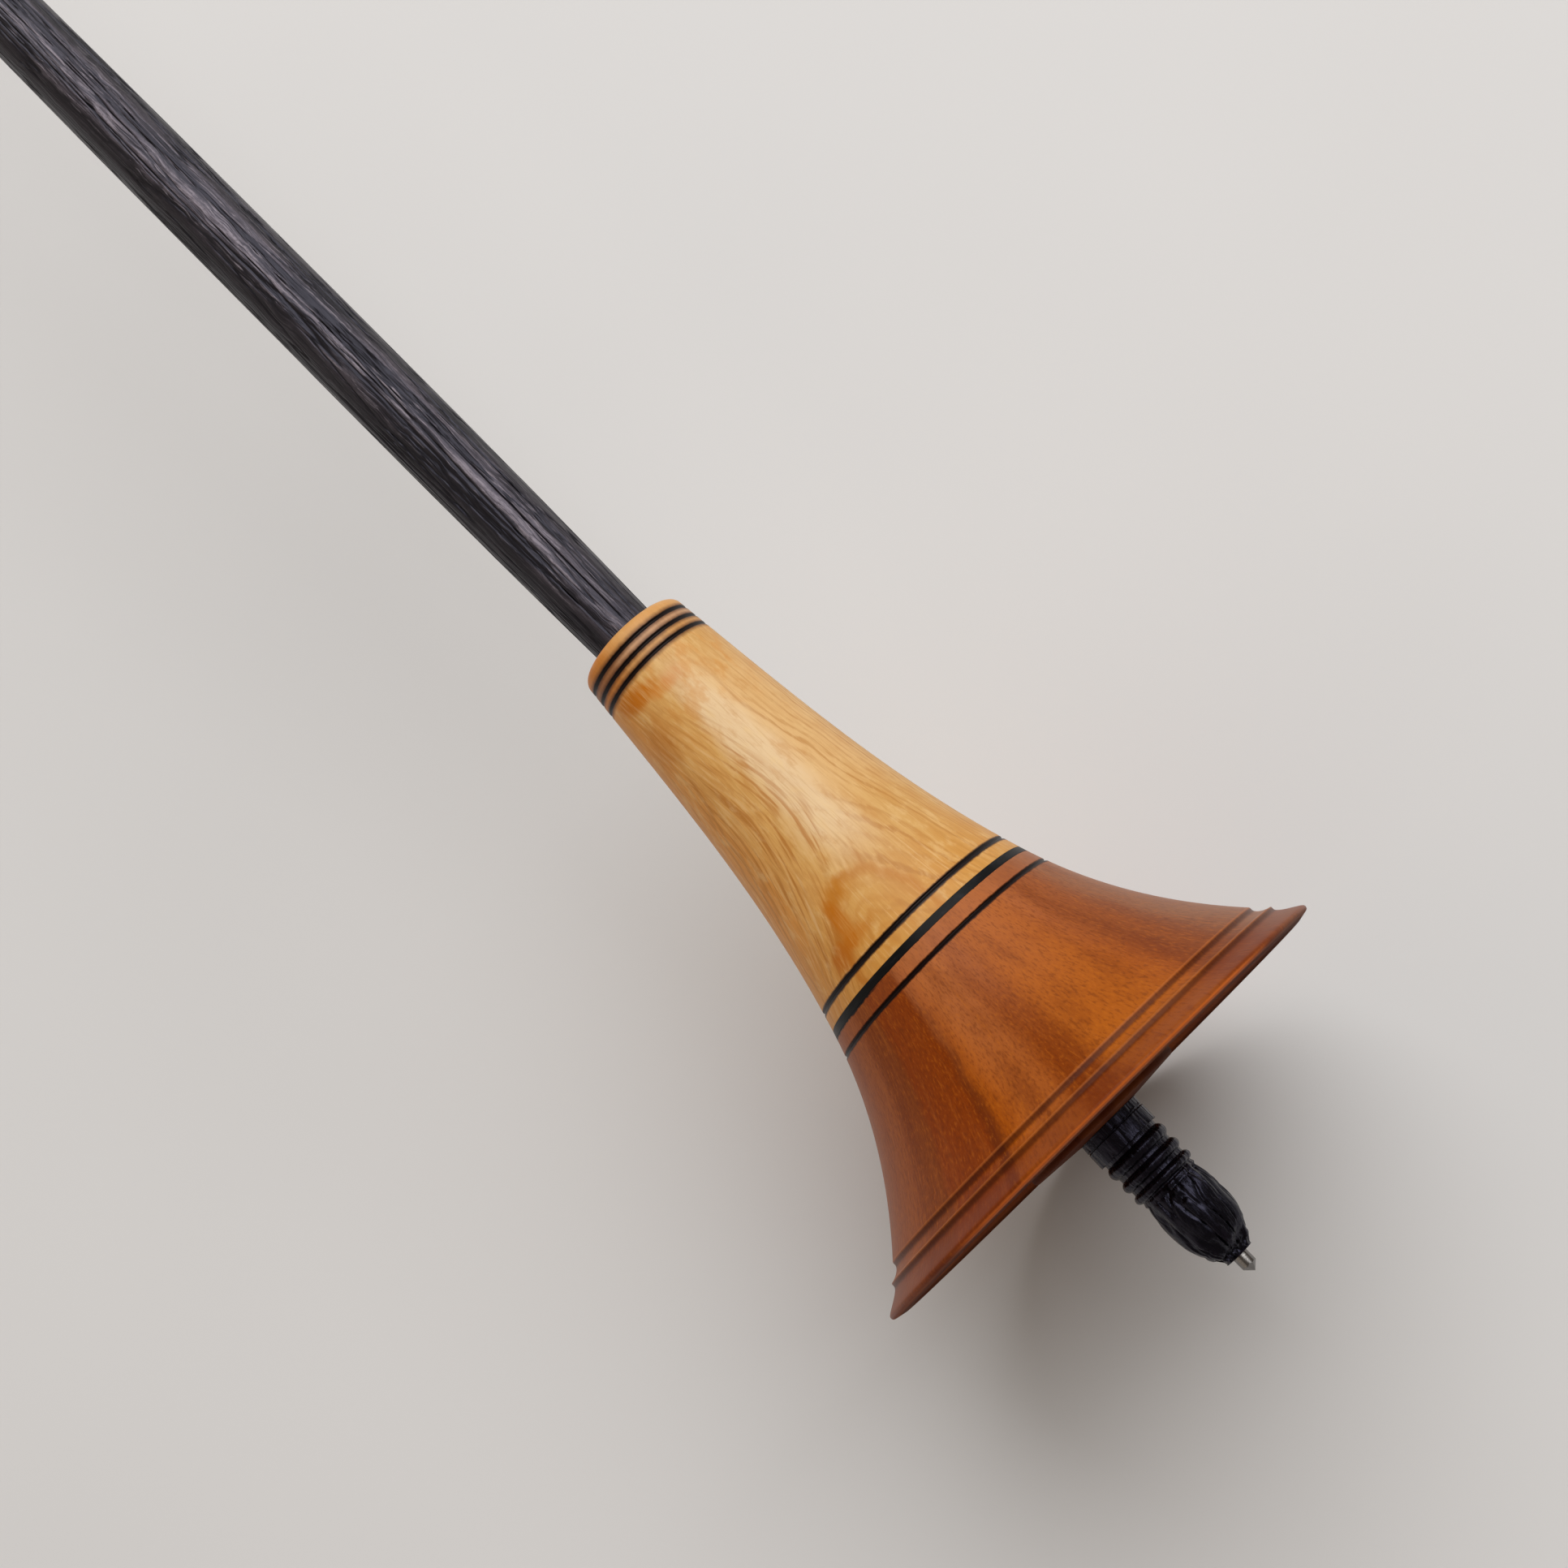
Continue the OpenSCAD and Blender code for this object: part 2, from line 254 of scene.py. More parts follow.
def eased(outline, radius, steps=4, sharp=radians(24), most=0.4):
    """Rounds the sharp corners of a closed outline, as sanding does, over a share of an edge at the most."""
    points = []
    count = len(outline)
    for i, point in enumerate(outline):
        here = Vector(point)
        back = Vector(outline[i - 1]) - here
        ahead = Vector(outline[(i + 1) % count]) - here
        if here.x == 0 or back.length == 0 or ahead.length == 0 or pi - back.angle(ahead) < sharp:
            points.append(point)
            continue
        start = here + back * min(radius / back.length, most)
        end = here + ahead * min(radius / ahead.length, most)
        for k in range(steps + 1):
            t = k / steps
            points.append(tuple((1 - t)**2 * start + 2 * t * (1 - t) * here + t**2 * end))
    return points


def groove(z, lines, half_width, depth):
    """Depth at height z of round-bottomed grooves that are cut along some lines."""
    cuts = [depth * (1 - ((z - line) / half_width)**2)**2 for line in lines if abs(z - line) < half_width]
    return max(cuts, default=0.0)


def grooved(radius_at, low, high, step, lines, half_width, depth):
    """Points on a turned surface between two heights, with finer steps in its grooves."""
    heights = set(spread(low, high, step))
    for line in lines:
        heights = {z for z in heights if abs(z - line) > half_width}
        heights |= set(spread(line - half_width, line + half_width, half_width / 4))
    return [(radius_at(z) - groove(z, lines, half_width, depth), z) for z in sorted(heights)]


# The whorl's flare in its two curves
BELL_LOW = (UPPER_STEP_R, UPPER_STEP_Z, -STEP_FLARE)
JOINT = (SEAM_R, SEAM_Z, -SEAM_FLARE)
COLLAR_EDGE = (COLLAR_R, COLLAR_Z - COLLAR_ROUND, -COLLAR_FLARE)


def whorl_r(z):
    """Radius of the whorl's flare at height z."""
    return flare_r(z, BELL_LOW, JOINT) if z < SEAM_Z else flare_r(z, JOINT, COLLAR_EDGE)


def on_whorl(height, azimuth):
    """The point of the whorl's flare at a height and an azimuth."""
    r = whorl_r(height)
    return (r * cos(radians(azimuth)), r * sin(radians(azimuth)), height)


# Turned pieces

def turn(name, outline, sides):
    """Turns a closed outline into a new piece round the axis."""
    bpy.ops.object.select_all(action="DESELECT")
    bpy.ops.mesh.primitive_plane_add(size=MM)
    piece = bpy.context.object
    piece.name = name
    bpy.ops.object.mode_set(mode="EDIT")
    bpy.ops.mesh.select_all(action="SELECT")
    bpy.ops.mesh.merge(type="CENTER")
    bpy.ops.transform.translate(value=(outline[0][0] * MM, 0, outline[0][1] * MM))
    for (r0, z0), (r1, z1) in zip(outline, outline[1:] + outline[:1]):
        step = ((r1 - r0) * MM, 0, (z1 - z0) * MM)
        bpy.ops.mesh.extrude_region_move(TRANSFORM_OT_translate={"value": step})
    bpy.ops.object.mode_set(mode="OBJECT")
    lathe = piece.modifiers.new("lathe", "SCREW")
    lathe.axis = "Z"
    lathe.angle = 2 * pi
    lathe.steps = sides
    lathe.render_steps = sides
    bpy.ops.object.modifier_apply(modifier=lathe.name)
    bpy.ops.object.mode_set(mode="EDIT")
    bpy.ops.mesh.select_all(action="SELECT")
    bpy.ops.mesh.remove_doubles(threshold=1e-7)
    bpy.ops.mesh.normals_make_consistent(inside=False)
    bpy.ops.object.mode_set(mode="OBJECT")
    return piece


def smooth(piece, angle):
    """Shades a piece smoothly apart from its sharp edges, with each face weighing by its area."""
    bpy.ops.object.select_all(action="DESELECT")
    piece.select_set(True)
    bpy.context.view_layer.objects.active = piece
    bpy.ops.object.shade_smooth_by_angle(angle=angle)
    weighted = piece.modifiers.new("face_weights", "WEIGHTED_NORMAL")
    weighted.keep_sharp = True
    bpy.ops.object.modifier_apply(modifier=weighted.name)


def hand_in(piece, node, finish):
    """Lets a piece stand for a CAD node, on the body and with the finish that it has."""
    piece.data.materials.clear()
    piece.data.materials.append(finish)
    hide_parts(node)
    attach(piece, "root")


def underside():
    """Outline of the bell's underside, from the bore over the boss and the hollow to the land."""
    boss_edge = (BOSS_R - BOSS_ROUND, BOSS_Z + BOSS_CROWN + BOSS_ROUND)
    pull_z = RIM_Z + HOLLOW_DEPTH * 4 / 3
    land_pull = (HOLLOW_R - HOLLOW_LEAN * (HOLLOW_R - BOSS_R), pull_z)
    outline = [(BORE_R, BOSS_Z), (SEAT_R, BOSS_Z)]
    outline += arc(boss_edge, BOSS_ROUND, -90, 0, 8)
    outline += swing((BOSS_R, boss_edge[1]), (BOSS_R, pull_z), land_pull, (HOLLOW_R, RIM_Z), 32)[1:]
    return outline + [(LAND_R, RIM_Z)]


def stepped_rim():
    """Outline of the rim, from the lip over the lower step to the foot of the upper one."""
    lip = (RIM_R - LIP_ROUND, RIM_Z + LIP_HEIGHT)
    lip_top = arc(lip, LIP_ROUND, 45, 45, 1)[0]
    lower_step = (LOWER_STEP_R, LOWER_STEP_Z)
    lower_foot = (LOWER_STEP_R, LOWER_STEP_Z - STEP_DROP)
    upper_foot = (UPPER_STEP_R, UPPER_STEP_Z - STEP_DROP)
    outline = arc(lip, LIP_ROUND, -70, 45, 10)
    outline += swing(lip_top, moved(lip_top, LIP_PULL), moved(lower_foot, QUIRK_PULL), lower_foot, 14)[1:]
    outline += swing(lower_step, moved(lower_step, COVE_PULL), moved(upper_foot, QUIRK_PULL), upper_foot, 14)
    return outline


def make_bell():
    """Lower half of the whorl: boss, hollow underside, stepped rim and lower flare."""
    burns = [BELL_BURN]
    outline = underside() + stepped_rim()
    outline += grooved(whorl_r, UPPER_STEP_Z, SEAM_LOW_Z, BELL_STEP, burns, BURN_HALF_WIDTH, BURN_DEPTH)
    outline += [(BORE_R, SEAM_LOW_Z)]
    piece = turn("brown_bell", eased(outline, BELL_EASE), BELL_SIDES)
    smooth(piece, EDGE_ANGLE)
    return piece


def make_neck():
    """Upper half of the whorl: upper flare and collar with its burnt grooves."""
    collar_edge = (COLLAR_R - COLLAR_ROUND, COLLAR_Z - COLLAR_ROUND)
    burns = [SEAM_BURN] + COLLAR_BURNS
    outline = [(BORE_R, SEAM_HIGH_Z)]
    outline += grooved(whorl_r, SEAM_HIGH_Z, COLLAR_EDGE[1], NECK_STEP, burns, BURN_HALF_WIDTH, BURN_DEPTH)
    outline += arc(collar_edge, COLLAR_ROUND, 0, 90, 12)[1:]
    outline += [(BORE_R, COLLAR_Z)]
    piece = turn("pale_neck", eased(outline, NECK_EASE), NECK_SIDES)
    smooth(piece, EDGE_ANGLE)
    return piece


def open_grain(piece, cracks, share):
    """Sinks cracks along the grain into a piece and keeps their depth as the attribute grain.

    The cracks run where a stretched and bent noise changes its sign, and share gives how much of their
    depth a place takes.
    """
    depth, spacing, length, narrow = cracks
    kept = piece.data.attributes.get("grain") or piece.data.attributes.new("grain", "FLOAT", "POINT")
    outward = [point.normal.copy() for point in piece.data.vertices]
    for point, normal, value in zip(piece.data.vertices, outward, kept.data):
        x, y, z = point.co / MM
        r = hypot(x, y)
        around = BULB_R / spacing / max(r, 1e-6)
        where = Vector((x * around, y * around, z / length))
        wave = noise.noise(where + CRACK_BEND * noise.noise_vector(where * CRACK_BEND_FINENESS))
        sunk = max(0.0, 1 - abs(wave) / narrow) * share(r, z)
        point.co -= normal * depth * sunk * MM
        value.value = max(value.value, sunk)


def shaft_share(r, z):
    """Share of the cracks on the shaft: all of their depth between the collar and the nose."""
    return 1.0 if COLLAR_Z < z < NOSE_Z else 0.0


def foot_share(r, z):
    """Share of the cracks on the foot: all of their depth on the bulb, less on the beads and the band."""
    if r < FOOT_END_R or z > BAND_CRACKS_TOP_Z:
        return 0.0
    if z < BULB_CRACKS_TOP_Z:
        return 1.0
    return BEAD_CRACKS if z < BAND_Z else BAND_CRACKS


def foot_end_share(r, z):
    """Share of the cracks at the foot's lower end, which fade out above it."""
    return foot_share(r, z) * max(0.0, 1 - (z - FOOT_Z) / END_CRACKS_RISE)


def make_shaft():
    """Long shaft: tenon in the whorl, gentle belly and a slim upper end with a rounded nose."""
    low = (SHAFT_R, COLLAR_Z, SHAFT_SWELL)
    belly = (BELLY_R, BELLY_Z, 0)
    nose = (NOSE_R, NOSE_Z, -NOSE_TAPER)
    outline = [(0, TENON_END_Z), (TENON_R - TENON_CHAMFER, TENON_END_Z)]
    outline += [(TENON_R, TENON_END_Z + TENON_CHAMFER), (TENON_R, COLLAR_Z)]
    outline += flare(low, belly, SHAFT_STEP)
    outline += flare(belly, nose, SHAFT_STEP)[1:]
    outline += swing((NOSE_R, NOSE_Z), (NOSE_R, NOSE_Z + NOSE_PULL), (NOSE_R / 2, TOP_Z), (0, TOP_Z), 12)[1:]
    piece = turn("dark_shaft", outline, SHAFT_SIDES)
    for cracks in SHAFT_CRACKS:
        open_grain(piece, cracks, shaft_share)
    smooth(piece, CRACK_ANGLE)
    return piece


def make_foot():
    """Foot: bulb, beads and plain band below the whorl, and its tenon."""
    widest = (BULB_R, FOOT_Z + BULB_RISE, 0)
    outline = [(PIN_HOLE_R, PIN_TOP_Z), (PIN_HOLE_R, FOOT_Z)]
    outline += flare((FOOT_END_R, FOOT_Z, FOOT_END_FLARE), widest, BULB_STEP)
    outline += flare(widest, (WAIST_R, BEADS_Z, -WAIST_TAPER), BULB_STEP)[1:]
    bead_z = BEADS_Z
    for height in BEAD_HEIGHTS:
        r = (height**2 / 4 + QUIRK_DEPTH**2) / (2 * QUIRK_DEPTH)
        half_angle = degrees(2 * atan2(2 * QUIRK_DEPTH, height))
        outline += arc((BEAD_R - r, bead_z + height / 2), r, -half_angle, half_angle, 12)
        bead_z += height + QUIRK_HEIGHT
    score = [BOSS_Z - SCORE_DROP]
    outline += [(BEAD_R - QUIRK_DEPTH, BAND_Z)]
    outline += grooved(lambda z: BAND_R, BAND_Z, BOSS_Z, BAND_STEP, score, SCORE_DEPTH, SCORE_DEPTH)
    outline += [(TENON_R, BOSS_Z), (TENON_R, TENON_TOP_Z - TENON_CHAMFER)]
    outline += [(TENON_R - TENON_CHAMFER, TENON_TOP_Z), (0, TENON_TOP_Z), (0, PIN_TOP_Z)]
    piece = turn("black_foot", eased(outline, FOOT_EASE), FOOT_SIDES)
    for cracks in FOOT_CRACKS:
        open_grain(piece, cracks, foot_share)
    open_grain(piece, FOOT_END_CRACKS, foot_end_share)
    smooth(piece, CRACK_ANGLE)
    return piece


def make_pin():
    """Steel rod with a point ground to flats by hand, a shoulder against the foot and a slimmer shank."""
    point_h = PIN_R / tan(POINT_ANGLE / 2)
    outline = [(0, 0), (PIN_R, point_h), (PIN_R, FOOT_Z), (SHANK_R, FOOT_Z)]
    outline += [(SHANK_R, PIN_TOP_Z - SHANK_CHAMFER), (SHANK_R - SHANK_CHAMFER, PIN_TOP_Z), (0, PIN_TOP_Z)]
    piece = turn("steel_point", eased(outline, PIN_EASE), PIN_SIDES)
    bpy.ops.object.mode_set(mode="EDIT")
    for i in range(POINT_FLATS):
        turned = FLAT_TURN + 2 * pi * i / POINT_FLATS
        level = cos(FLAT_SLOPE)
        outward = Vector((cos(turned) * level, sin(turned) * level, -sin(FLAT_SLOPE)))
        bpy.ops.mesh.select_all(action="SELECT")
        bpy.ops.mesh.bisect(plane_co=outward * -FLAT_INSET * MM, plane_no=outward, use_fill=True,
                            clear_outer=True, threshold=1e-9)
    bpy.ops.object.mode_set(mode="OBJECT")
    smooth(piece, FLAT_ANGLE)
    return piece


# Node recipes

class Recipe:
    """Adds nodes to a tree. An input that is a socket is linked, and any other value is set."""

    def __init__(self, tree):
        self.tree = tree

    def feed(self, socket, value):
        """Links an input to a socket, or sets it to a value."""
        if isinstance(value, bpy.types.NodeSocket):
            self.tree.links.new(value, socket)
        else:
            socket.default_value = value

    def add(self, kind, inputs=(), **settings):
        """A new node with its settings and inputs."""
        node = self.tree.nodes.new(kind)
        for name, value in settings.items():
            setattr(node, name, value)
        for name, value in dict(inputs).items():
            self.feed(node.inputs[name], value)
        return node

    def math(self, operation, *values):
        """Arithmetic on values."""
        return self.add("ShaderNodeMath", enumerate(values), operation=operation).outputs[0]

    def plus(self, a, b):
        return self.math("ADD", a, b)

    def minus(self, a, b):
        return self.math("SUBTRACT", a, b)

    def times(self, a, b):
        return self.math("MULTIPLY", a, b)

    def vector(self, operation, *values):
        """Arithmetic on vectors, which gives a value for a length or a dot product."""
        result = "Value" if operation in ("LENGTH", "DOT_PRODUCT") else "Vector"
        return self.add("ShaderNodeVectorMath", enumerate(values), operation=operation).outputs[result]

    def parts(self, where):
        """The X, Y and Z of a position."""
        return self.add("ShaderNodeSeparateXYZ", {0: where}).outputs

    def joined(self, x, y, z=0.0):
        """A position from its X, Y and Z."""
        return self.add("ShaderNodeCombineXYZ", {"X": x, "Y": y, "Z": z}).outputs[0]

    def stretch(self, where, scale):
        """Position scaled along each axis."""
        return self.add("ShaderNodeMapping", {"Vector": where, "Scale": scale}).outputs[0]

    def noise(self, where, detail, roughness, scale=1.0):
        """Cloudy noise from 0 to 1."""
        inputs = {"Vector": where, "Scale": scale, "Detail": detail, "Roughness": roughness}
        return self.add("ShaderNodeTexNoise", inputs).outputs["Fac"]

    def fade(self, value, low, high, to_low=0.0, to_high=1.0):
        """Smooth step from one value to another as the input goes from low to high."""
        inputs = {"Value": value, 1: low, 2: high, 3: to_low, 4: to_high}
        return self.add("ShaderNodeMapRange", inputs, interpolation_type="SMOOTHSTEP").outputs[0]

    def mix(self, factor, a, b):
        """Colour between a and b."""
        return self.add("ShaderNodeMix", {0: factor, 6: a, 7: b}, data_type="RGBA").outputs[2]

    def tint(self, colour, tint, mask, share):
        """A colour with a share of a tint where a mask is."""
        return self.mix(self.times(mask, share), colour, tint)


def rgb(red, green, blue):
    """A colour as it looks on a screen, from 0 to 255, turned into linear light."""
    def linear(value):
        share = value / 255
        return share / 12.92 if share <= 0.04045 else ((share + 0.055) / 1.055)**2.4
    return (linear(red), linear(green), linear(blue), 1.0)


def new_group(name, inputs, outputs):
    """An empty node group with named inputs and outputs, a recipe to fill it, and a way to set its outputs.

    The sockets that vectors names hold vectors, and all others hold values.
    """
    vectors = ("Position", "Centre", "Size", "Place")
    tree = bpy.data.node_groups.new(name, "ShaderNodeTree")
    for direction, labels in (("INPUT", inputs), ("OUTPUT", outputs)):
        for label in labels:
            kind = "NodeSocketVector" if label in vectors else "NodeSocketFloat"
            tree.interface.new_socket(label, in_out=direction, socket_type=kind)
    recipe = Recipe(tree)
    given = recipe.add("NodeGroupInput").outputs
    result = recipe.add("NodeGroupOutput")
    return tree, recipe, given, lambda label, socket: tree.links.new(socket, result.inputs[label])


def line_group():
    """A line round the wood at one height, with a soft and ragged edge."""
    tree, r, given, put = new_group(
        "line round the wood", ["Position", "Height", "Width", "Softness", "Ragged"], ["Mask"])
    z = r.parts(given["Position"])["Z"]
    ragged = r.noise(r.stretch(given["Position"], (1.6, 1.6, 0.6)), 5.0, 0.7)
    shift = r.times(r.minus(ragged, 0.5), given["Ragged"])
    away = r.plus(r.math("ABSOLUTE", r.minus(z, given["Height"])), shift)
    edge = r.times(given["Width"], 0.5)
    put("Mask", r.fade(away, r.plus(edge, given["Softness"]), edge))
    return tree


def streak_group():
    """A stripe along the grain on one side of the axis, with a wobble. Angles are in degrees."""
    tree, r, given, put = new_group(
        "stripe along the grain", ["Position", "Azimuth", "Half width", "Softness", "Wobble"], ["Mask"])
    parts = r.parts(given["Position"])
    azimuth = r.math("DEGREES", r.math("ARCTAN2", parts["Y"], parts["X"]))
    slow = r.noise(r.stretch(given["Position"], (0.35, 0.35, 0.12)), 4.0, 0.6)
    wobble = r.times(r.minus(slow, 0.5), given["Wobble"])
    turned = r.plus(r.minus(azimuth, given["Azimuth"]), wobble)
    away = r.math("ABSOLUTE", r.math("WRAP", turned, 180.0, -180.0))
    put("Mask", r.fade(away, r.plus(given["Half width"], given["Softness"]), given["Half width"]))
    return tree


def patch_group():
    """A soft patch of figure round a point, with a wandering edge."""
    tree, r, given, put = new_group(
        "patch of figure", ["Position", "Centre", "Size", "Wander"], ["Mask", "Distance"])
    away = r.vector("SUBTRACT", given["Position"], given["Centre"])
    distance = r.vector("LENGTH", r.vector("DIVIDE", away, given["Size"]))
    drift = r.noise(r.stretch(given["Position"], (0.9, 0.9, 0.5)), 3.0, 0.55)
    distance = r.plus(distance, r.times(r.minus(drift, 0.5), given["Wander"]))
    put("Distance", distance)
    put("Mask", r.fade(distance, 1.0, 0.3))
    return tree


def unrolled_group():
    """Position moved along the radius to one cylinder, so that a pattern follows the flare.

    The pattern leans by some degrees per millimetre, to one side above the turn height and to the other
    side below it.
    """
    tree, r, given, put = new_group(
        "unrolled place", ["Position", "Radius", "Lean", "Turn height", "Turn length"], ["Place"])
    parts = r.parts(given["Position"])
    azimuth = r.math("ARCTAN2", parts["Y"], parts["X"])
    above = r.minus(parts["Z"], given["Turn height"])
    far = r.plus(r.times(above, above), r.times(given["Turn length"], given["Turn length"]))
    lean = r.math("RADIANS", r.times(r.math("SQRT", far), given["Lean"]))
    turned = r.plus(azimuth, lean)
    x = r.times(r.math("COSINE", turned), given["Radius"])
    y = r.times(r.math("SINE", turned), given["Radius"])
    put("Place", r.joined(x, y, parts["Z"]))
    return tree


def fibre_group():
    """Streaks along the grain, as fine as the width and as long as the length."""
    tree, r, given, put = new_group("fibres", ["Position", "Width", "Length", "Detail"], ["Streak"])
    across = r.math("DIVIDE", 1.0, given["Width"])
    along = r.math("DIVIDE", 1.0, given["Length"])
    where = r.vector("MULTIPLY", given["Position"], r.joined(across, across, along))
    put("Streak", r.noise(where, given["Detail"], 0.55))
    return tree


def rings_group():
    """Growth rings as flat layers across one azimuth, bent slowly and feathered along the grain.

    Where the turned surface cuts the layers steeply they are fine lines, and where it grazes them they
    open into arches and flames.
    """
    tree, r, given, put = new_group(
        "growth rings", ["Position", "Azimuth", "Spacing", "Bend", "Feather"], ["Late wood"])
    turned = r.math("RADIANS", given["Azimuth"])
    across = r.joined(r.math("COSINE", turned), r.math("SINE", turned))
    depth = r.vector("DOT_PRODUCT", given["Position"], across)
    slow = r.minus(r.noise(r.stretch(given["Position"], (0.16, 0.16, 0.07)), 2.0, 0.5), 0.5)
    fibre = r.minus(r.noise(r.stretch(given["Position"], (2.4, 2.4, 0.25)), 2.0, 0.5), 0.5)
    depth = r.plus(depth, r.times(slow, given["Bend"]))
    depth = r.plus(depth, r.times(fibre, given["Feather"]))
    layers = r.math("DIVIDE", depth, given["Spacing"])
    wave = r.math("SINE", r.times(layers, 2 * pi))
    uneven = {"W": layers, "Scale": 0.5, "Detail": 1.0}
    shade = r.add("ShaderNodeTexNoise", uneven, noise_dimensions="1D").outputs[0]
    put("Late wood", r.times(r.fade(wave, -0.2, 0.95), r.fade(shade, 0.3, 0.65)))
    return tree


def turning_group():
    """Fine lines round the wood that sanding on the lathe leaves, as a height."""
    tree, r, given, put = new_group("turning lines", ["Position", "Fineness"], ["Height"])
    where = r.stretch(given["Position"], (0.05, 0.05, 1.0))
    put("Height", r.noise(where, 4.0, 0.7, scale=given["Fineness"]))
    return tree


LINE = line_group()
STREAK = streak_group()
PATCH = patch_group()
UNROLLED = unrolled_group()
FIBRES = fibre_group()
RINGS = rings_group()
TURNING = turning_group()


# Parts of the finishes

def new_finish(name):
    """A material with a Principled shader, a recipe, and the position in millimetres."""
    material = bpy.data.materials.new(name)
    material.use_nodes = True
    recipe = Recipe(material.node_tree)
    shader = material.node_tree.nodes["Principled BSDF"]
    place = recipe.add("ShaderNodeTexCoord").outputs["Object"]
    place = recipe.stretch(place, (1 / MM,) * 3)
    return material, recipe, shader, place


def set_sockets(recipe, node, inputs):
    """Sets or links a node's inputs, whose names have underscores for spaces."""
    for label, value in inputs.items():
        recipe.feed(node.inputs[label.replace("_", " ")], value)


def grouped(recipe, group, **inputs):
    """Places a node group with its own values and gives its outputs."""
    node = recipe.add("ShaderNodeGroup", node_tree=group)
    set_sockets(recipe, node, inputs)
    return node.outputs


def set_shader(recipe, shader, **inputs):
    """Sets or links the shader's sockets."""
    set_sockets(recipe, shader, inputs)


def bump(recipe, height, distance):
    """Normal of a fine relief, whose depth is in millimetres."""
    inputs = {"Height": height, "Distance": distance * MM, "Strength": 1.0}
    return recipe.add("ShaderNodeBump", inputs).outputs["Normal"]


def line_mask(r, place, height, width, softness, ragged):
    """Mask of a line round the wood."""
    line = grouped(r, LINE, Position=place, Height=height, Width=width, Softness=softness, Ragged=ragged)
    return line["Mask"]


def stripe_mask(r, place, azimuth, half_width, softness, wobble):
    """Mask of a stripe along the grain, in degrees."""
    stripe = grouped(r, STREAK, Position=place, Azimuth=azimuth, Half_width=half_width, Softness=softness,
                     Wobble=wobble)
    return stripe["Mask"]


def fibres(r, place, width, length, detail=2.0):
    """Streaks along the grain."""
    return grouped(r, FIBRES, Position=place, Width=width, Length=length, Detail=detail)["Streak"]


def zone(r, place, low, high, soft):
    """Mask of the wood between two heights, with soft ends."""
    z = r.parts(place)["Z"]
    return r.times(r.fade(z, low - soft, low + soft), r.fade(z, high + soft, high - soft))


def wandering(r, place, size, amount):
    """Position pushed about by a noise of some size, so that lines drawn on it aren't straight."""
    drift = r.add("ShaderNodeTexNoise", {"Vector": place, "Scale": 1 / size, "Detail": 2.0}).outputs["Color"]
    drift = r.vector("SUBTRACT", drift, (0.5, 0.5, 0.5))
    return r.vector("ADD", place, r.vector("MULTIPLY", drift, (amount,) * 3))


def sunk_grain(r):
    """Depth of the open grain that a piece keeps in its attribute."""
    return r.add("ShaderNodeAttribute", attribute_name="grain").outputs["Fac"]


def burnt(r, colour, place, height, width, scorch):
    """Burns a line into a colour: black in its groove with a faint painted glint along its middle, and a
    brown scorch beside it.
    """
    brown = line_mask(r, place, height, width=width + 0.1, softness=scorch, ragged=0.3)
    black = line_mask(r, place, height, width=width - 0.06, softness=0.17, ragged=0.16)
    # Painted highlight: a faint pale glint along the middle of the groove
    glint = line_mask(r, place, height, width=0.02, softness=0.07, ragged=0.14)
    colour = r.tint(colour, rgb(84, 40, 18), brown, 0.75)
    colour = r.mix(black, colour, rgb(13, 3, 2))
    return r.tint(colour, rgb(66, 52, 48), glint, 0.1)


# Neck: unrolled radius, heights of its zones, and how far its black lies below the groove
NECK_PATTERN_R = 8.0
AMBER_LOW_Z, AMBER_HIGH_Z = 30.0, 45.5
CREAM_LOW_Z, CREAM_HIGH_Z = 50.0, 72.0
RIGHT_LOW_Z, RIGHT_HIGH_Z = 54.0, 72.0
CALM_LOW_Z, CALM_HIGH_Z = 62.0, 73.0
COLLAR_LOW_Z, COLLAR_HIGH_Z = 75.0, 90.0
FLAME_TURN_Z = 57.5
SEAM_BURN_DROP = 0.07

# Nested bows of figure above the seam: height and azimuth of their middle, size, and waves per size
BOWS_MIDDLE = (41.0, -99.0)
BOWS_SIZE = (5.2, 5.2, 8.5)
BOWS_WAVES = 36.0

# Patches of amber figure on the neck: height, azimuth, size, share and tint
NECK_PATCHES = [
    (73.9, -129.0, (2.6, 2.6, 1.6), 0.95, rgb(190, 108, 0)),
    (73.3, -116.0, (2.8, 2.8, 1.3), 0.95, rgb(194, 110, 4)),
    (72.4, -99.0, (2.2, 2.2, 0.9), 0.7, rgb(206, 130, 52)),
    (72.6, -84.0, (1.8, 1.8, 1.2), 0.5, rgb(210, 144, 84)),
    (68.8, -132.0, (2.4, 2.4, 3.2), 0.6, rgb(184, 108, 26)),
    (47.6, -106.0, (2.4, 2.4, 1.8), 0.5, rgb(198, 128, 36)),
    (45.8, -114.5, (1.3, 1.3, 3.3), 0.8, rgb(190, 108, 4)),
    (43.8, -114.0, (2.8, 2.8, 1.2), 0.85, rgb(188, 106, 0)),
    (43.3, -125.0, (2.2, 2.2, 1.6), 0.85, rgb(182, 100, 0)),
]


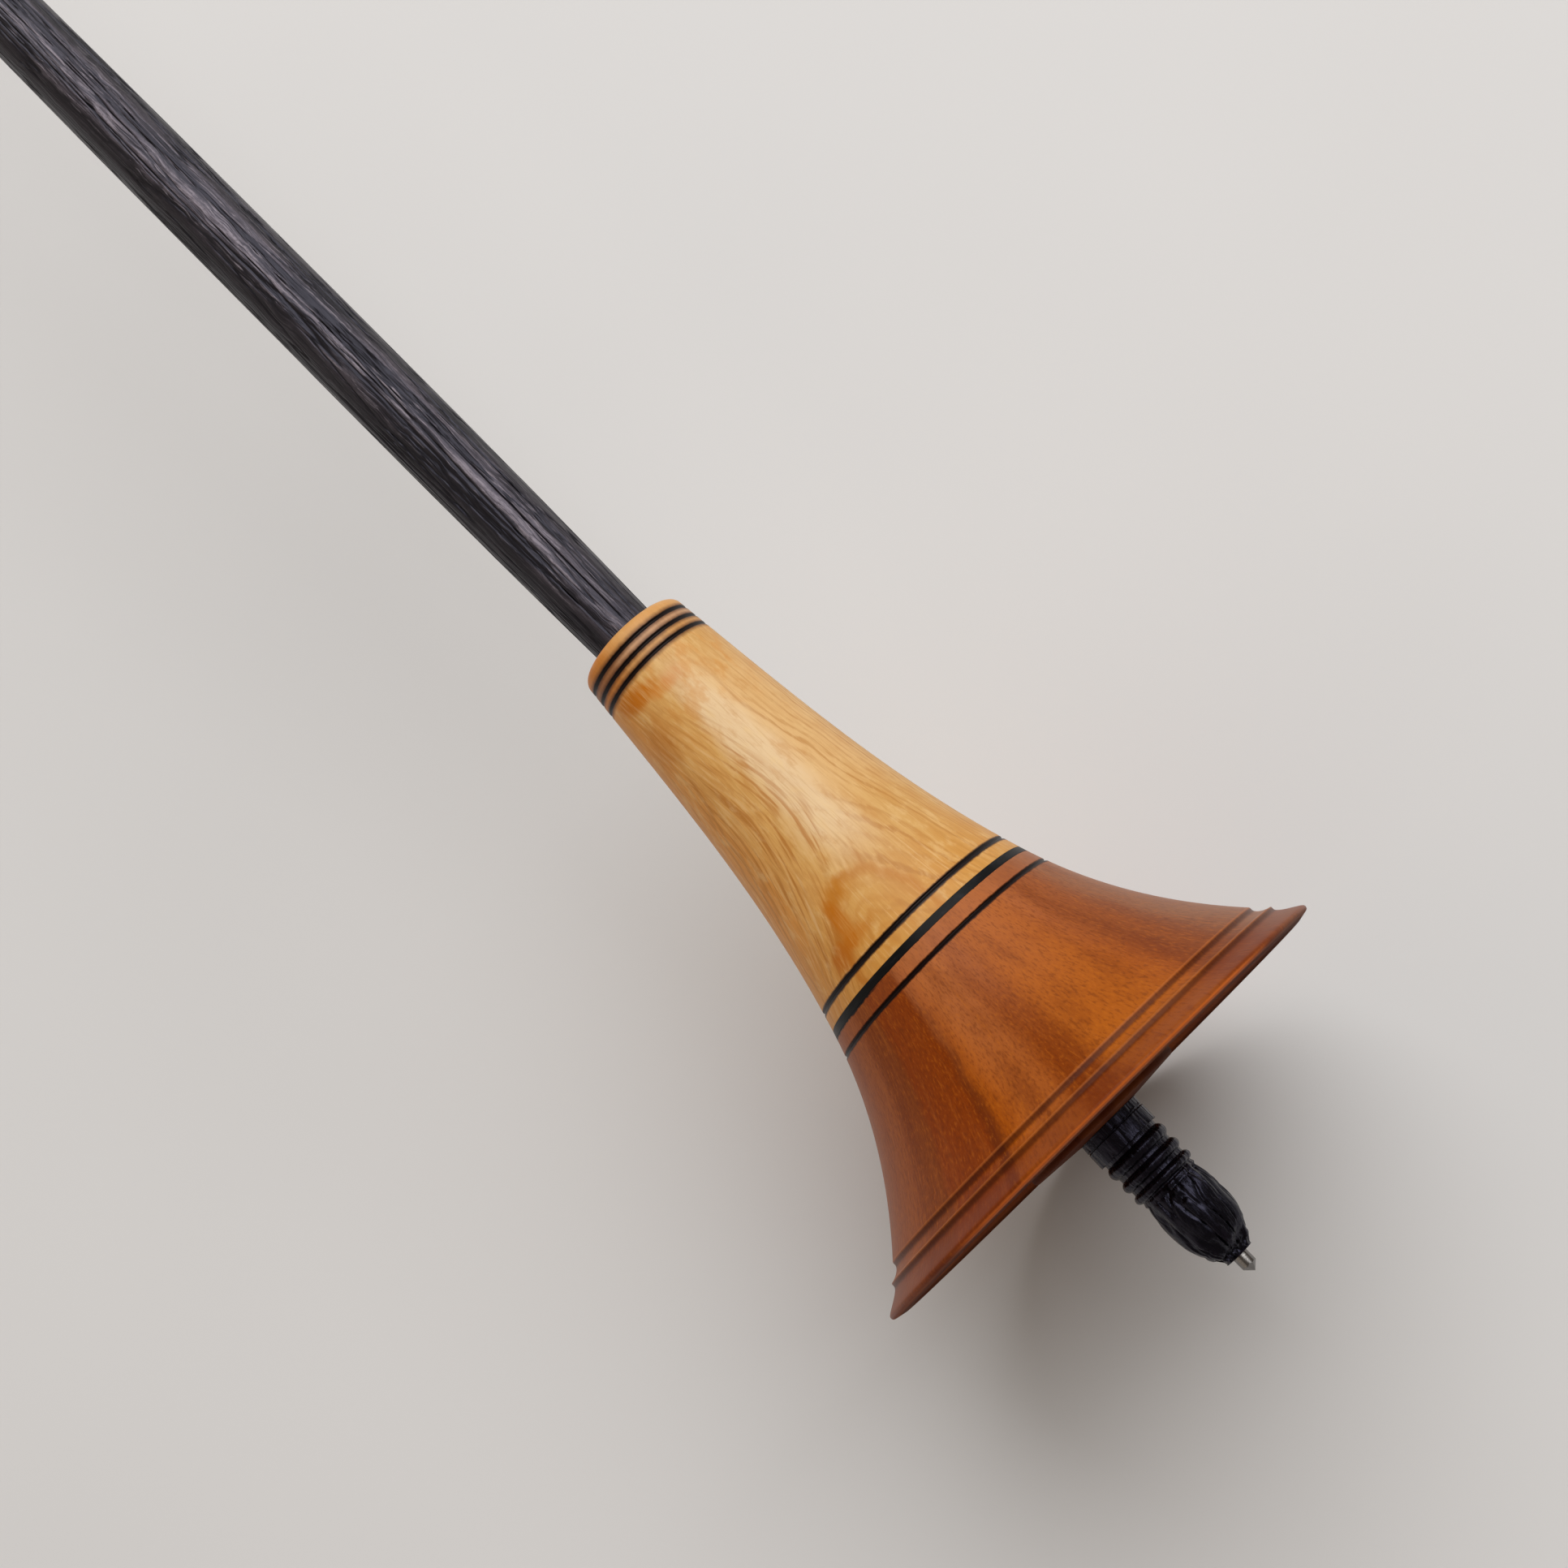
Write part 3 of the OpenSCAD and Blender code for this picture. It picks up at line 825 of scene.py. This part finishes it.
def bows(r, place, hairs):
    """Masks of the nested bows of figure that stand on the seam, and of the wood outside them."""
    away = grouped(r, PATCH, Position=place, Centre=on_whorl(*BOWS_MIDDLE), Size=BOWS_SIZE, Wander=0.24)
    away = r.plus(away["Distance"], r.times(r.minus(hairs, 0.5), 0.1))
    outer = r.times(r.fade(away, 0.74, 0.92), r.fade(away, 1.06, 0.92))
    inner = r.math("SINE", r.times(away, BOWS_WAVES))
    inner = r.times(r.fade(inner, -0.4, 1.0, 0.0, 0.28), r.fade(away, 0.85, 0.7))
    side = stripe_mask(r, place, azimuth=-122.0, half_width=14.0, softness=18.0, wobble=10.0)
    lines = r.times(r.plus(outer, inner), r.fade(side, 0.0, 1.0, 0.6, 0.95))
    return lines, r.fade(away, 0.85, 1.05)


def neck_finish():
    """Pale golden figured wood under satin lacquer."""
    material, r, shader, place = new_finish("pale golden wood")
    z = r.parts(place)["Z"]
    calm = r.fade(z, CALM_LOW_Z, CALM_HIGH_Z, 1.0, 0.35)
    along = grouped(r, UNROLLED, Position=place, Radius=NECK_PATTERN_R)["Place"]
    leaning = grouped(r, UNROLLED, Position=place, Radius=NECK_PATTERN_R, Lean=2.0, Turn_height=FLAME_TURN_Z,
                      Turn_length=4.0)["Place"]
    rings = grouped(r, RINGS, Position=place, Azimuth=-97.0, Spacing=0.62, Bend=3.0, Feather=0.5)
    hairs = fibres(r, along, width=0.16, length=4.0)
    broad = fibres(r, along, width=1.6, length=40.0)
    flames = fibres(r, leaning, width=0.42, length=7.0)
    left = stripe_mask(r, place, azimuth=-165.0, half_width=38.0, softness=34.0, wobble=30.0)
    middle = stripe_mask(r, place, azimuth=-110.0, half_width=16.0, softness=16.0, wobble=30.0)
    # A cream stripe: partly the wood's pale streak, partly a painted highlight
    cream_and_highlight = stripe_mask(r, place, azimuth=-82.0, half_width=6.0, softness=16.0, wobble=26.0)
    cream_and_highlight = r.times(cream_and_highlight, zone(r, place, CREAM_LOW_Z, CREAM_HIGH_Z, 3.5))
    right = stripe_mask(r, place, azimuth=-46.0, half_width=20.0, softness=20.0, wobble=30.0)
    right = r.times(right, zone(r, place, RIGHT_LOW_Z, RIGHT_HIGH_Z, 4.0))
    colour = r.mix(r.fade(broad, 0.35, 0.65), rgb(202, 152, 84), rgb(210, 164, 98))
    # The left side's golden tint is partly the wood's tone and partly painted bounce light on its shaded
    # side
    colour = r.tint(colour, rgb(220, 145, 56), left, 0.75)
    colour = r.tint(colour, rgb(216, 168, 98), middle, 0.6)
    colour = r.tint(colour, rgb(224, 184, 130), right, 0.6)
    colour = r.tint(colour, rgb(200, 138, 54), zone(r, place, AMBER_LOW_Z, AMBER_HIGH_Z, 3.5), 0.65)
    late = r.times(r.times(rings["Late wood"], r.fade(middle, 0.0, 1.0, 0.65, 0.25)), calm)
    colour = r.mix(late, colour, rgb(178, 118, 50))
    colour = r.tint(colour, rgb(229, 200, 157), cream_and_highlight, 0.8)
    colour = r.mix(r.fade(hairs, 0.5, 0.75, 0.0, 0.4), colour, rgb(184, 130, 64))
    colour = r.mix(r.fade(hairs, 0.45, 0.25, 0.0, 0.4), colour, rgb(226, 190, 134))
    bow_lines, clear_of_bows = bows(r, place, hairs)
    flamed = stripe_mask(r, place, azimuth=-117.0, half_width=16.0, softness=30.0, wobble=30.0)
    flamed = r.times(flamed, clear_of_bows)
    dark_flames = r.times(r.fade(flames, 0.5, 0.64), r.times(flamed, calm))
    pale_flames = r.times(r.fade(flames, 0.46, 0.3), flamed)
    colour = r.tint(colour, rgb(228, 188, 132), pale_flames, 0.5)
    colour = r.tint(colour, rgb(176, 108, 36), dark_flames, 0.7)
    clouds = r.noise(r.stretch(along, (0.5, 0.5, 0.34)), 3.0, 0.5)
    clouded = r.times(r.fade(clouds, 0.5, 0.62), r.fade(calm, 1.0, 0.35, 0.0, 0.6))
    colour = r.mix(clouded, colour, rgb(206, 144, 70))
    curl = r.noise(r.stretch(along, (0.9, 0.9, 0.4)), 5.0, 0.65)
    colour = r.mix(r.fade(curl, 0.5, 0.7, 0.0, 0.4), colour, rgb(192, 132, 62))
    colour = r.mix(r.fade(curl, 0.5, 0.3, 0.0, 0.4), colour, rgb(228, 192, 134))
    colour = r.mix(bow_lines, colour, rgb(184, 114, 34))
    feather = r.fade(r.plus(flames, hairs), 0.8, 1.15, 0.5, 1.0)
    for height, azimuth, size, share, tint in NECK_PATCHES:
        patch = grouped(r, PATCH, Position=place, Centre=on_whorl(height, azimuth), Size=size, Wander=0.9)
        colour = r.tint(colour, tint, r.times(patch["Mask"], feather), share)
    collar = r.mix(left, rgb(208, 152, 90), rgb(194, 114, 34))
    colour = r.tint(colour, collar, zone(r, place, COLLAR_LOW_Z, COLLAR_HIGH_Z, 0.5), 0.75)
    first_gap = r.mix(left, rgb(196, 156, 126), rgb(130, 92, 66))
    colour = r.tint(colour, first_gap, zone(r, place, COLLAR_BURNS[1], COLLAR_BURNS[0], 0.1), 0.6)
    colour = burnt(r, colour, place, SEAM_BURN - SEAM_BURN_DROP, width=0.46, scorch=0.16)
    for line in COLLAR_BURNS:
        colour = burnt(r, colour, place, line, width=0.36, scorch=0.48)
    height = r.plus(grouped(r, TURNING, Position=place, Fineness=5.0)["Height"], hairs)
    set_shader(r, shader, Base_Color=colour, Roughness=0.42, Specular_IOR_Level=0.22,
               Normal=bump(r, height, 0.008))
    return material


# Bell: unrolled radius, start of the painted sheen on its upper part, and how far its black lies below the
# groove
BELL_PATTERN_R = 16.0
PAINTED_SHEEN_LOW_Z = 24.0
BELL_BURN_DROP = 0.09

# Stripes along the bell, mostly of its grain and some of painted light: azimuth, half width and softness in
# degrees, shares at the rim and the seam, tint
BELL_GRAIN_AND_LIGHT_STRIPES = [
    # Partly the wood's tone, partly painted bounce light on the shaded left side
    (-160.0, 20.0, 10.0, 0.7, 0.75, rgb(140, 72, 26)),
    (-132.0, 4.0, 6.0, 0.9, 0.9, rgb(120, 54, 4)),
    (-119.0, 7.0, 3.5, 0.95, 0.95, rgb(126, 51, 0)),
    (-109.5, 0.8, 2.2, 0.8, 0.1, rgb(92, 33, 0)),
    (-104.5, 2.0, 3.0, 0.8, 0.1, rgb(160, 77, 0)),
    # Painted sheen near the seam
    (-98.0, 4.0, 5.0, 0.2, 0.6, rgb(176, 103, 54)),
    (-85.0, 3.0, 5.0, 0.66, 0.05, rgb(112, 44, 0)),
    (-70.0, 7.0, 9.0, 0.8, 0.5, rgb(170, 90, 18)),
    (-40.0, 5.0, 11.0, 0.75, 0.4, rgb(112, 52, 16)),
    # Painted reflection along the right edge
    (-20.0, 6.0, 16.0, 0.85, 0.75, rgb(134, 90, 62)),
]


def rim_colour(r, colour, place, out):
    """Painted shade on the rim's outer cove, a painted highlight along its front edge, and on its two steps
    painted highlights on the arrises and painted shade in the quirks.
    """
    # Painted shade: the outer cove up to the lower step is darkened
    cove = zone(r, place, 0.0, LOWER_STEP_Z - STEP_DROP, 0.3)
    colour = r.tint(colour, rgb(108, 42, 8), cove, 0.5)
    # Painted highlight: an orange line along the front of the rim's lower edge
    edge = line_mask(r, place, RIM_Z + 0.2, width=0.3, softness=0.22, ragged=0.1)
    front = stripe_mask(r, place, azimuth=-85.0, half_width=32.0, softness=18.0, wobble=10.0)
    edge = r.times(r.times(edge, front), r.fade(out, RIM_R - 0.6, RIM_R - 0.3, 0.0, 0.75))
    colour = r.mix(edge, colour, rgb(216, 112, 46))
    for step_z in (LOWER_STEP_Z, UPPER_STEP_Z):
        # Painted highlight on each step's arris, and painted shade in the quirk below it
        arris_highlight = line_mask(r, place, step_z, width=0.06, softness=0.12, ragged=0.1)
        quirk_shade = line_mask(r, place, step_z - STEP_DROP, width=0.2, softness=0.3, ragged=0.2)
        colour = r.tint(colour, rgb(60, 21, 4), quirk_shade, 0.7)
        colour = r.tint(colour, rgb(180, 104, 50), arris_highlight, 0.35)
    return colour


def below_seam_colour(r, colour, place):
    """A painted sheen between the burnt line and the seam, and black that has bled from the seam."""
    # Painted sheen: the band between the burnt line and the seam is lightened, most towards azimuth -60
    sheen = stripe_mask(r, place, azimuth=-60.0, half_width=36.0, softness=16.0, wobble=10.0)
    painted_sheen_band = zone(r, place, BELL_BURN, SEAM_LOW_Z + 1.0, 0.15)
    painted_sheen_band = r.times(painted_sheen_band, r.fade(sheen, 0.0, 1.0, 0.1, 0.3))
    colour = r.mix(painted_sheen_band, colour, rgb(168, 104, 66))
    bleed = line_mask(r, place, SEAM_LOW_Z, width=0.0, softness=0.02, ragged=0.3)
    smudge = line_mask(r, place, SEAM_LOW_Z, width=0.16, softness=0.16, ragged=0.5)
    shady = stripe_mask(r, place, azimuth=-150.0, half_width=24.0, softness=14.0, wobble=10.0)
    return r.mix(r.math("MAXIMUM", bleed, r.times(smudge, shady)), colour, rgb(14, 12, 13))


def bell_finish():
    """Reddish brown fine-grained wood under satin lacquer."""
    material, r, shader, place = new_finish("reddish brown wood")
    z = r.parts(place)["Z"]
    out = r.vector("LENGTH", r.vector("MULTIPLY", place, (1.0, 1.0, 0.0)))
    along = grouped(r, UNROLLED, Position=place, Radius=BELL_PATTERN_R)["Place"]
    bands = fibres(r, along, width=3.2, length=60.0)
    mottle = r.noise(r.stretch(along, (0.4, 0.4, 0.14)), 4.0, 0.65)
    dashes = fibres(r, along, width=0.17, length=0.5)
    fine = fibres(r, along, width=0.4, length=9.0, detail=3.0)
    colour = r.mix(r.fade(bands, 0.36, 0.64), rgb(138, 65, 12), rgb(160, 82, 20))
    # Painted sheen: the upper part turns paler and pinker towards the seam
    colour = r.mix(r.fade(z, PAINTED_SHEEN_LOW_Z, SEAM_LOW_Z, 0.0, 0.75), colour, rgb(172, 101, 59))
    # Stripes of grain, some of them painted sheen, reflection and bounce light
    for azimuth, half_width, softness, low, high, tint in BELL_GRAIN_AND_LIGHT_STRIPES:
        stripe = stripe_mask(r, place, azimuth, half_width, softness, wobble=5.0)
        colour = r.tint(colour, tint, stripe, r.fade(z, RIM_Z, SEAM_LOW_Z, low, high))
    colour = r.mix(r.fade(mottle, 0.45, 0.7, 0.0, 0.4), colour, rgb(112, 47, 8))
    colour = r.mix(r.fade(fine, 0.5, 0.72, 0.0, 0.25), colour, rgb(166, 91, 32))
    colour = r.mix(r.fade(dashes, 0.5, 0.68, 0.0, 0.36), colour, rgb(88, 35, 6))
    colour = r.mix(r.fade(dashes, 0.46, 0.3, 0.0, 0.26), colour, rgb(188, 104, 24))
    colour = rim_colour(r, colour, place, out)
    colour = below_seam_colour(r, colour, place)
    colour = burnt(r, colour, place, BELL_BURN - BELL_BURN_DROP, width=0.36, scorch=0.12)
    # Painted shade: the hollow underneath and the land under the rim are darkened; the hollow is also made
    # rougher
    low = r.fade(z, UPPER_STEP_Z, UPPER_STEP_Z - 0.2)
    inside = r.times(r.fade(out, HOLLOW_R - 1.4, HOLLOW_R - 2.4), low)
    land = r.times(r.fade(out, RIM_R - 0.5, RIM_R - 1.0), r.fade(z, RIM_Z + 0.35, RIM_Z + 0.15))
    colour = r.tint(colour, rgb(50, 20, 8), r.math("MAXIMUM", inside, land), 0.6)
    height = r.plus(grouped(r, TURNING, Position=place, Fineness=4.0)["Height"], dashes)
    dull_edge = r.fade(z, RIM_Z, RIM_Z + LIP_HEIGHT, 0.8, 0.38)
    set_shader(r, shader, Base_Color=colour, Roughness=r.math("MAXIMUM", dull_edge, r.times(inside, 0.7)),
               Specular_IOR_Level=0.1, Normal=bump(r, height, 0.012))
    return material


def seam_finish():
    """Black dyed layer under satin lacquer."""
    material, r, shader, place = new_finish("black seam")
    worn = r.noise(r.stretch(place, (0.7, 0.7, 2.0)), 4.0, 0.6)
    colour = r.mix(r.fade(worn, 0.5, 0.8), rgb(7, 7, 8), rgb(28, 28, 33))
    set_shader(r, shader, Base_Color=colour, Roughness=0.4, Specular_IOR_Level=0.12,
               Normal=bump(r, worn, 0.02))
    return material


# Painted shade along the shaft's shaded left side and its right edge: azimuth and half width in degrees,
# share
SHAFT_PAINTED_SHADE = [
    (-150.0, 26.0, 0.85),
    (-26.0, 14.0, 0.6),
]
SHAFT_DARK_TOP_Z = COLLAR_Z + 7.0


def shaft_finish():
    """Black wood with grey streaks and open grain, oiled and buffed."""
    material, r, shader, place = new_finish("streaked black wood")
    bent = wandering(r, place, 4.0, 0.8)
    streaks = fibres(r, bent, width=0.75, length=16.0, detail=3.0)
    fine = fibres(r, bent, width=0.2, length=8.0, detail=3.0)
    speckle = fibres(r, place, width=0.09, length=0.35)
    # Painted highlight: a pale grey band along the lit side, broken by the grain
    pale = stripe_mask(r, place, azimuth=-86.0, half_width=2.0, softness=9.0, wobble=50.0)
    colour = r.mix(r.fade(streaks, 0.4, 0.62), rgb(18, 16, 18), rgb(80, 74, 80))
    colour = r.tint(colour, rgb(142, 134, 142), pale, r.fade(fine, 0.4, 0.6, 0.1, 0.65))
    colour = r.mix(r.fade(fine, 0.53, 0.7, 0.0, 0.65), colour, rgb(146, 138, 146))
    colour = r.mix(r.fade(fine, 0.48, 0.3, 0.0, 0.6), colour, rgb(8, 7, 8))
    colour = r.mix(r.fade(speckle, 0.5, 0.7, 0.0, 0.5), colour, rgb(10, 8, 10))
    # Painted shade darkens the shaft's left side and its right edge
    for azimuth, half_width, share in SHAFT_PAINTED_SHADE:
        side = stripe_mask(r, place, azimuth, half_width, softness=14.0, wobble=24.0)
        colour = r.tint(colour, rgb(6, 5, 6), side, share)
    colour = r.tint(colour, rgb(12, 10, 12), zone(r, place, 0.0, SHAFT_DARK_TOP_Z, 6.0), 0.36)
    colour = r.mix(r.fade(sunk_grain(r), 0.05, 0.5), colour, rgb(5, 4, 5))
    height = r.plus(r.times(streaks, 3.5), fine)
    set_shader(r, shader, Base_Color=colour, Roughness=r.fade(fine, 0.3, 0.7, 0.32, 0.44),
               Specular_IOR_Level=0.38, Specular_Tint=rgb(232, 230, 255), Normal=bump(r, height, 0.06))
    return material


def foot_finish():
    """Black open-grained wood, oiled and buffed to a shine."""
    material, r, shader, place = new_finish("black wood")
    streaks = fibres(r, place, width=0.4, length=6.0, detail=3.0)
    speckle = fibres(r, place, width=0.16, length=0.5)
    colour = r.mix(r.fade(streaks, 0.4, 0.7), rgb(4, 3, 5), rgb(18, 14, 21))
    colour = r.mix(r.fade(sunk_grain(r), 0.2, 0.8), colour, rgb(2, 2, 3))
    height = r.plus(r.times(streaks, 1.5), r.times(speckle, 0.5))
    set_shader(r, shader, Base_Color=colour, Roughness=r.fade(speckle, 0.35, 0.7, 0.2, 0.34),
               Specular_IOR_Level=0.32, Specular_Tint=rgb(216, 214, 255), Normal=bump(r, height, 0.05))
    return material


def steel_finish():
    """Bright ground steel with fine grinding lines."""
    material, r, shader, place = new_finish("ground steel")
    lines = r.noise(r.stretch(place, (2.0, 2.0, 14.0)), 4.0, 0.6)
    colour = r.mix(lines, rgb(150, 148, 146), rgb(94, 91, 89))
    set_shader(r, shader, Base_Color=colour, Metallic=1.0, Roughness=r.fade(lines, 0.3, 0.7, 0.16, 0.3),
               Normal=bump(r, lines, 0.006))
    return material


# Table and light

def table_finish():
    """Pale plain table top, seen from its front only."""
    material, r, shader, place = new_finish("pale table")
    cloud = r.noise(place, 2.0, 0.5, scale=0.012)
    colour = r.mix(cloud, rgb(212, 212, 212), rgb(220, 220, 220))
    set_shader(r, shader, Base_Color=colour, Roughness=0.75)
    clear = r.add("ShaderNodeBsdfTransparent").outputs[0]
    behind = r.add("ShaderNodeNewGeometry").outputs["Backfacing"]
    both = r.add("ShaderNodeMixShader", {0: behind, 1: shader.outputs[0], 2: clear}).outputs[0]
    r.feed(r.tree.nodes["Material Output"].inputs["Surface"], both)
    return material


def make_table():
    """Table top behind the spindle, which the rim lies on."""
    touch = (0, RIM_R * MM, (RIM_Z + LIP_HEIGHT) * MM)
    bpy.ops.object.select_all(action="DESELECT")
    bpy.ops.mesh.primitive_plane_add(size=TABLE_SIZE, location=touch, rotation=(pi / 2 + TABLE_SLOPE, 0, 0))
    table = bpy.context.object
    table.name = "table"
    bpy.ops.object.transform_apply(location=True, rotation=True, scale=True)
    table.data.materials.append(table_finish())


def add_area_light(name, place, size, power, tint):
    """A soft square lamp that faces the spindle."""
    data = bpy.data.lights.new(name, "AREA")
    data.shape = "SQUARE"
    data.size = size
    data.energy = power
    data.color = tint
    lamp = bpy.data.objects.new(name, data)
    bpy.context.collection.objects.link(lamp)
    lamp.location = place
    lamp.rotation_euler = (Vector(LAMP_TARGET) - Vector(place)).to_track_quat("-Z", "Y").to_euler()


def set_light():
    """Window from the top of the picture, small lamp from its right, warm wall at its left, dim surround."""
    for lamp in LAMPS:
        add_area_light(*lamp)
    world = bpy.data.worlds.new("surround")
    world.use_nodes = True
    bpy.context.scene.world = world
    sky = world.node_tree.nodes["Background"]
    sky.inputs["Color"].default_value = SURROUND_TINT
    sky.inputs["Strength"].default_value = SURROUND_STRENGTH


# The scene

place_camera()
bpy.context.scene.view_settings.view_transform = "Standard"
noise.seed_set(CRACK_BEND_SEED)
bell = make_bell()
neck = make_neck()
shaft = make_shaft()
foot = make_foot()
pin = make_pin()
hand_in(bell, "whorl_bell", bell_finish())
hand_in(neck, "whorl_neck", neck_finish())
hand_in(shaft, "shaft", shaft_finish())
hand_in(foot, "foot", foot_finish())
hand_in(pin, "tip_pin", steel_finish())
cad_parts["seam_ring"].data.materials.clear()
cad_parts["seam_ring"].data.materials.append(seam_finish())
make_table()
set_light()
